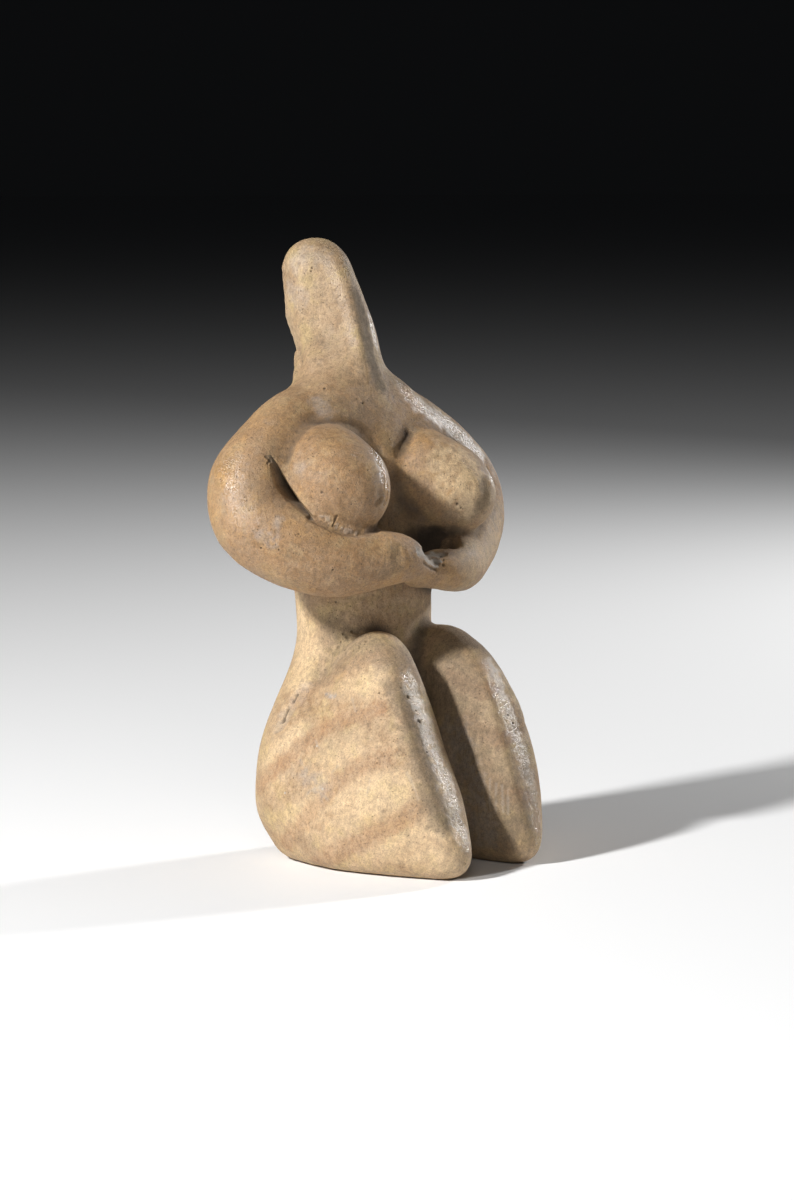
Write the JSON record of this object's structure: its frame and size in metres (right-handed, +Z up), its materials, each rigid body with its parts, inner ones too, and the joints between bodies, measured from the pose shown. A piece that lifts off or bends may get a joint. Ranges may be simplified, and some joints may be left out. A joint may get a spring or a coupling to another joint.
{
  "type": "seated female statuette",
  "caption": "Hand-modelled clay statuette of a seated woman: pinched stump of a head, arms folded under the breasts, knees drawn up; burnished buff clay with faint painted bands.",
  "frame": {"origin": "on the ground the figure sits on, below the middle of its box", "axes": "+Z up along the figure's height, -Y the way it faces, +X its left-hand side"},
  "size_m": [0.0488, 0.042, 0.08],
  "materials": {
    "clay": "burnished, low-fired buff clay with faint reddish-brown painted bands, satin"
  },
  "bodies": {
    "root": {"statuette": "clay"}
  },
  "joints": []
}
